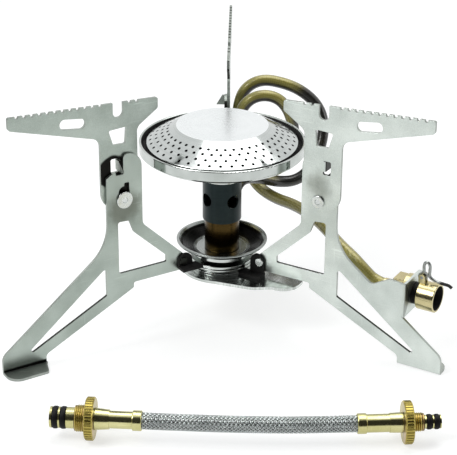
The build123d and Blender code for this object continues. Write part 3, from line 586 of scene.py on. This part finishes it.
def darkLegEdge(face, outward, distance, high):
    # painted shade on edges that look up below the post, and a painted dark reflection on the post's
    # inner edge near the flame
    belowOuter = (distance < faceRules["outerEdge"][0]
                  or high < outerEdgeHeight(distance) - faceRules["edgeBand"])
    upward = face.normal.z > faceRules["upward"] and high < faceRules["darkBelow"]
    inward = face.normal.dot(outward) < -faceRules["plateNormal"]
    return (upward and belowOuter) or (inward and high > faceRules["darkInnerEdge"])


def onLockTab(distance, high):
    tabDistance, tabHeight, reach = faceRules["lockTab"]
    return abs(distance - tabDistance) < reach and abs(high - tabHeight) < reach


def paintPlate(side, kind):
    # face, contact face with painted shade, and cut edges of one sheet part, some of them painted dark
    # as shade
    outward, across = legAxes(side)
    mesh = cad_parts[f"{side}_{kind}"].data
    for finish in (side + "ShadedContact", "cutEdge", "darkEdge"):
        mesh.materials.append(materials[finish])
    plain, contactShade, cut, dark = range(4)
    towardsOther = 1 if kind == "leg" else -1
    for face in mesh.polygons:
        facing = face.normal.dot(across)
        distance, high = face.center.dot(outward) / mm, face.center.z / mm
        ofSheet = abs(face.center.dot(across)) < faceRules["sheetReach"] * mm
        isFlat = abs(facing) > faceRules["plateNormal"]
        if ofSheet and isFlat:
            face.material_index = contactShade if facing * towardsOther > 0 else plain
        elif ofSheet and kind == "leg":
            face.material_index = dark if darkLegEdge(face, outward, distance, high) else cut
        elif ofSheet:
            # painted shade under the rear support's edges
            isUnder = face.normal.z < -faceRules["underside"] and side == "rear"
            face.material_index = dark if isUnder else cut
        elif high < faceRules["flange"] or kind == "support":
            face.material_index = cut
        # painted shade in the right support's lock window
        if side == "right" and kind == "support" and not isFlat and onLockTab(distance, high):
            face.material_index = dark


for side in legTurns:
    for kind in ("leg", "support"):
        paintPlate(side, kind)


def paintFaces(nodeName, isMeant, finish="soot"):
    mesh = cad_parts[nodeName].data
    mesh.materials.append(materials[finish])
    for face in mesh.polygons:
        if isMeant(face):
            face.material_index = len(mesh.materials) - 1


def reachOf(face):
    return hypot(face.center.x, face.center.y)


capFaces = {
    "middle": 10.0,      # this far below its foot lies the middle of its dome
    "outward": 0.35,     # inner faces and hole walls look less outward than this
    "rim": 0.8,          # bare at the foot
    "flat": 0.97,
    "top": 6.0,          # the flat top lies above this
}
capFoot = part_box("burner_cap")[0].z
capMiddle = Vector((0, 0, capFoot - capFaces["middle"] * mm))


def insideCap(face):
    # its inner face and the walls of its flame holes, painted black: painted shade, with some soot
    out = (face.center - capMiddle).normalized()
    return face.normal.dot(out) < capFaces["outward"] and face.center.z > capFoot + capFaces["rim"] * mm


def capTop(face):
    # the flat top, which takes the lighter steel as a painted highlight
    high = face.center.z > capFoot + capFaces["top"] * mm
    return face.normal.z > capFaces["flat"] and face.material_index == 0 and high


cupFaces = {
    "inward": -0.4,
    "floor": 0.5,
    "floorDrop": 1.5,    # its floor lies further than this below the top
    "lip": 0.6,          # bare at the top
}
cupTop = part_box("burner_cup")[1].z


def insideCup(face):
    # its inner wall and floor below the lip, painted black as shade in the groove
    drop = (cupTop - face.center.z) / mm
    flat = Vector((face.center.x, face.center.y, 0))
    inward = face.normal.dot(flat.normalized()) < cupFaces["inward"]
    floor = face.normal.z > cupFaces["floor"] and drop > cupFaces["floorDrop"]
    return (inward or floor) and drop > cupFaces["lip"]


hubReach = {"ring": 15.8, "downward": -0.5}


def darkHub(face):
    # lugs and arms painted black as a dark reflection, and undersides painted black as shade
    return reachOf(face) > hubReach["ring"] * mm or face.normal.z < hubReach["downward"]


inlet = {"mouth": 112.2, "offset": 10.5, "height": 33.4, "bore": 6.15, "from": 103.0, "endFace": 0.9}


def hookEnd(face):
    # the hook's end beyond the mouth, painted black as shade
    return reachOf(face) > inlet["mouth"] * mm


def insideSocket(face):
    # inside the socket's bore, painted black as shade
    outward, across = legAxes("right")
    aside = -face.center.dot(across) / mm - inlet["offset"]
    high = face.center.z / mm - inlet["height"]
    deep = face.center.dot(outward) / mm > inlet["from"]
    return deep and hypot(aside, high) < inlet["bore"] and face.normal.dot(outward) < inlet["endFace"]


linkGrip = {"middle": (-118.0, 9.6), "thread": 6.2}


def threadOf(face):
    aside, high = [c / mm - m for c, m in zip((face.center.y, face.center.z), linkGrip["middle"])]
    return hypot(aside, high) < linkGrip["thread"]


hubEdge = {"width": 0.22, "weld": 0.001, "segments": 2, "angle": 35, "weight": 100}


def softenEdges(node):
    # broken edges, as tumbling leaves them
    weld = node.modifiers.new("weld", "WELD")
    weld.merge_threshold = hubEdge["weld"] * mm
    bevel = node.modifiers.new("edges", "BEVEL")
    bevel.width = hubEdge["width"] * mm
    bevel.segments = hubEdge["segments"]
    bevel.limit_method = "ANGLE"
    bevel.angle_limit = radians(hubEdge["angle"])
    bevel.use_clamp_overlap = False
    bevel.material = -1
    even = node.modifiers.new("evenNormals", "WEIGHTED_NORMAL")
    even.weight = hubEdge["weight"]
    even.keep_sharp = False


paintFaces("burner_cap", insideCap)
paintFaces("burner_cap", capTop, "topSteel")
paintFaces("inlet_socket", insideSocket)
paintFaces("burner_cup", insideCup)
paintFaces("latch_wire", hookEnd)
for side in legTurns:
    paintFaces(f"{side}_leg_ring", darkHub)
    softenEdges(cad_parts[f"{side}_leg_ring"])
for side in ("left", "right"):
    paintFaces(f"{side}_link_nut", threadOf, "thread")
print("CAD nodes finished")


def meshFrom(curve):
    # a curve's mesh, which takes the curve's place
    depsgraph = bpy.context.evaluated_depsgraph_get()
    mesh = bpy.data.meshes.new_from_object(curve.evaluated_get(depsgraph))
    bpy.data.objects.remove(curve)
    return mesh


curveForm = {"order": 3, "roundness": 8}


def newCurve(name, data):
    data.dimensions = "3D"
    curve = bpy.data.objects.new(name, data)
    scene.collection.objects.link(curve)
    return curve


def routeCurve(name, points, radius, steps):
    # tube along a route, or its bare middle line where the radius is 0
    data = bpy.data.curves.new(name, "CURVE")
    data.bevel_depth = radius * mm
    data.bevel_resolution = curveForm["roundness"]
    data.use_fill_caps = True
    curve = newCurve(name, data)
    line = data.splines.new("NURBS")
    line.points.add(len(points) - 1)
    for spot, point in zip(line.points, points):
        spot.co = (*[c * mm for c in point], 1)
    line.order_u = curveForm["order"]
    line.use_endpoint_u = True
    line.resolution_u = steps
    line.use_smooth = True
    return curve


fuelHose = {
    "radius": 2.95,
    "length": 415.0,
    "steps": 10,
    "route": [
        (82.81, -34.25, 33.4), (74.53, -29.59, 33.4),
        (68, -26.5, 39.5), (63.5, -22, 43), (57, -13, 45.5), (51.5, -2, 48), (44, 12, 49.5),
        (35.5, 25, 49), (26.5, 35.5, 47.5), (18.5, 43.5, 49.5), (12.5, 49, 56), (9, 52, 65),
        (7.5, 52.5, 75), (7.5, 52, 84.5), (9.3, 52, 91), (14, 52, 95.8), (20.5, 52, 97.5),
        (27, 52, 95.8), (31.8, 51.5, 91), (34.5, 51, 84), (36, 51, 76), (35.5, 51, 68),
        (32.5, 52, 60.5), (27, 53.5, 55.5), (20, 55.5, 54), (13.5, 58, 56.5), (9, 60.5, 62.5),
        (7, 62, 71), (6.5, 63, 80), (7, 63.5, 88), (9.2, 64.5, 94.5), (14, 65, 99),
        (20.5, 65.5, 100.8), (29, 65, 99.5), (37.5, 64.5, 96.5), (45, 62.5, 91.5), (49.5, 60, 85.5),
        (51, 57, 78.5), (50, 53, 71), (47, 49, 63.5), (42.5, 45.5, 57.5), (36.5, 43.5, 54),
        (29, 41.5, 54), (22, 38, 57), (15.5, 34, 59.8), (9.5, 30, 60.5), (6, 26.5, 56.5),
        (5.5, 23.5, 51), (4.72, 18.92, 47.5), (3.63, 14.55, 47.5),
    ],
}
hose = routeCurve("fuelHose", fuelHose["route"], fuelHose["radius"], fuelHose["steps"])
hose.data.materials.append(materials["hose"])
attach(hose, "stove")
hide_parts("fuel_hose")
print("fuel hose laid")


linkHose = {
    "radius": 3.85,
    "length": 93.5,
    "steps": 24,
    "route": [(-31.9, -118.1, 9.6), (-8, -119.4, 9.6), (15, -119.9, 9.6), (39, -119.6, 9.6),
              (61.5, -117.8, 9.6)],
    "carriers": 12,
    "wires": 2,
    "lead": 22.4,       # one turn of a carrier
    "wire": 0.2,
    "wave": 0.24,
    "spacing": 0.122,   # radians between the wires of a carrier
    "fineness": 4,      # points for each crossing
    "core": 3.05,
}


def middleLine(curve):
    # the points of a bare route, and how far along each lies
    mesh = meshFrom(curve)
    points = [v.co.copy() for v in mesh.vertices]
    bpy.data.meshes.remove(mesh)
    lengths = [0.0]
    for before, after in zip(points, points[1:]):
        lengths.append(lengths[-1] + (after - before).length)
    return points, lengths


def pointAt(points, lengths, distance):
    for k in range(1, len(points)):
        if lengths[k] >= distance or k == len(points) - 1:
            share = (distance - lengths[k - 1]) / (lengths[k] - lengths[k - 1])
            return points[k - 1].lerp(points[k], share), (points[k] - points[k - 1]).normalized()


def braidWires(points, lengths):
    # flat carriers of parallel wires, over and under the ones that cross them
    data = bpy.data.curves.new("braidCurve", "CURVE")
    data.bevel_depth = linkHose["wire"] * mm
    data.bevel_resolution = 0
    curve = newCurve("braidCurve", data)
    total = lengths[-1]
    lead, count = linkHose["lead"] * mm, linkHose["carriers"]
    middle = (linkHose["radius"] - linkHose["wire"] - linkHose["wave"]) * mm
    steps = int(total / lead * count * linkHose["fineness"])
    for hand in (1, -1):
        for carrier in range(count):
            for wire in range(linkHose["wires"]):
                aside = (wire - (linkHose["wires"] - 1) / 2) * linkHose["spacing"]
                line = data.splines.new("POLY")
                line.points.add(steps)
                for k in range(steps + 1):
                    distance = total * k / steps
                    spot, forward = pointAt(points, lengths, distance)
                    side = forward.cross(Vector((0, 0, 1))).normalized()
                    angle = hand * (2 * pi * (distance / lead + carrier / count) + aside)
                    out = side * cos(angle) + side.cross(forward) * sin(angle)
                    wave = hand * linkHose["wave"] * mm * cos(2 * pi * count * distance / lead)
                    line.points[k].co = (*(spot + out * (middle + wave)), 1)
    return curve


def joinMeshes(mesh, inner):
    # adds the inner mesh to the first, in the second material
    work = bmesh.new()
    work.from_mesh(mesh)
    outerCount = len(work.faces)
    work.from_mesh(inner)
    work.faces.ensure_lookup_table()
    for face in work.faces[outerCount:]:
        face.material_index = 1
    work.to_mesh(mesh)
    work.free()
    bpy.data.meshes.remove(inner)


def linkCurve(name, radius):
    return routeCurve(name, linkHose["route"], radius, linkHose["steps"])


linkPoints, linkLengths = middleLine(linkCurve("linkRoute", 0.0))
braidMesh = meshFrom(braidWires(linkPoints, linkLengths))
braidMesh.name = "linkBraid"
joinMeshes(braidMesh, meshFrom(linkCurve("linkCore", linkHose["core"])))
braidMesh.materials.clear()
for finish in ("braid", "soot"):
    braidMesh.materials.append(materials[finish])
braidMesh.shade_smooth()
braid = bpy.data.objects.new("linkBraid", braidMesh)
scene.collection.objects.link(braid)
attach(braid, "stove")
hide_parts("link_braid")
print("link hose braided", len(braidMesh.polygons))


linkThreads = {
    # of each grip: how far beyond the hose's end it starts, its length and radius
    "left": (24.7, 4.6, 5.7),
    "right": (24.2, 5.0, 3.95),
}
threadForm = {
    "pitch": 0.9,
    "depth": 0.05,
    "crest": 0.24,
    "flat": (0.40, 0.60),   # of the crest, as shares of the pitch
    "steps": 48,
    "sharp": 0.6,           # radians between faces at a sharp edge
}


def threadProfile(end, out, start, radius):
    # one ridge along the grip, ready to be wound
    pitch = threadForm["pitch"]
    low, high = radius - threadForm["depth"], radius + threadForm["crest"]
    rise, fall = [pitch * share for share in threadForm["flat"]]
    work = bmesh.new()
    for along, height in ((0.0, low), (rise, high), (fall, high), (pitch, low)):
        work.verts.new((end + out * (start + along) + Vector((0, 0, 1)) * height) * mm)
    corners = list(work.verts)
    return work, corners + [work.edges.new(pair) for pair in zip(corners, corners[1:] + corners[:1])]


def addThread(side):
    # a ridge wound round the plain end of the grip
    route = linkHose["route"] if side == "left" else linkHose["route"][::-1]
    end, inner = Vector(route[0]), Vector(route[1])
    out = (end - inner).normalized()
    start, length, radius = linkThreads[side]
    turns, steps = int(length / threadForm["pitch"]) - 1, threadForm["steps"]
    work, profile = threadProfile(end, out, start, radius)
    bmesh.ops.spin(work, geom=profile, cent=end * mm, axis=out, angle=2 * pi * turns,
                   dvec=out * (threadForm["pitch"] * mm / steps), steps=steps * turns)
    bmesh.ops.holes_fill(work, edges=[edge for edge in work.edges if edge.is_boundary])
    bmesh.ops.recalc_face_normals(work, faces=work.faces)
    name = f"{side}LinkThread"
    mesh = bpy.data.meshes.new(name)
    work.to_mesh(mesh)
    work.free()
    mesh.materials.append(materials["nutBrass"])
    mesh.shade_smooth()
    mesh.set_sharp_from_angle(angle=threadForm["sharp"])
    thread = bpy.data.objects.new(name, mesh)
    scene.collection.objects.link(thread)
    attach(thread, f"{side}_nut_body")


for side in linkThreads:
    addThread(side)
print("threads cut")


surroundings = {
    "floorSize": 8,
    "floor": {"Base Color": (0.42, 0.43, 0.43, 1), "Roughness": 0.6, "Specular IOR Level": 0.2,
              "Emission Color": (1, 1, 1, 1)},
    "lift": 0.66,            # glow of the floor where it is seen
    "fill": 0.30,            # what the white surroundings give as light
    "room": 0.035,           # dark side behind the camera, seen only in reflections
    "roomEdge": (0.14, 0.42),
}


def addFloor():
    bpy.ops.mesh.primitive_plane_add(size=surroundings["floorSize"], location=(0, 0, 0))
    floor = bpy.context.object
    floor.name = "floor"
    material, tree, shader = newMaterial("paleFloor", surroundings["floor"])
    path = tree.nodes.new("ShaderNodeLightPath")
    seen = maths(tree, "MAXIMUM", (path, "Is Camera Ray"), (path, "Is Glossy Ray"))
    feed(tree, maths(tree, "MULTIPLY", seen, surroundings["lift"]), shader, "Emission Strength")
    floor.data.materials.append(material)


def addWorld():
    world = bpy.data.worlds.new("studio")
    scene.world = world
    world.use_nodes = True
    tree = world.node_tree
    shade = tree.nodes["Background"]
    path = tree.nodes.new("ShaderNodeLightPath")
    direct = maths(tree, "MAXIMUM", (path, "Is Camera Ray"), (path, "Is Glossy Ray"))
    seen = maths(tree, "MAXIMUM", direct, (path, "Is Transmission Ray"))
    feed(tree, remap(tree, seen, 0.0, 1.0, surroundings["fill"], 1.0, smooth=False), shade, "Strength")
    depth = part(tree, (tree.nodes.new("ShaderNodeTexCoord"), "Object"), "Y")
    room = remap(tree, maths(tree, "MULTIPLY", depth, -1.0), *surroundings["roomEdge"])
    mirrored = maths(tree, "MULTIPLY", room, (path, "Is Glossy Ray"))
    dark = (surroundings["room"], surroundings["room"], surroundings["room"], 1)
    feed(tree, tint(tree, (1, 1, 1, 1), dark, mirrored), shade, "Color")


lamps = [
    # name, place, aim, size, watts
    ("keyLamp", (-0.60, -0.35, 0.80), (0, 0, 0.05), 0.45, 5.5),
    ("topLamp", (0.1, 0.25, 0.95), (0, 0, 0.05), 0.7, 4.0),
    ("sideLamp", (0.8, -0.10, 0.35), (0, 0, 0.05), 0.35, 0.8),
]


def addLamp(name, place, aim, size, power):
    data = bpy.data.lights.new(name, "AREA")
    data.shape = "SQUARE"
    data.size = size
    data.energy = power
    lamp = bpy.data.objects.new(name, data)
    lamp.location = place
    lamp.rotation_euler = (Vector(aim) - Vector(place)).to_track_quat("-Z", "Y").to_euler()
    scene.collection.objects.link(lamp)


addFloor()
addWorld()
for lamp in lamps:
    addLamp(*lamp)
scene.view_settings.view_transform = "Standard"
print("stage and lamps set")
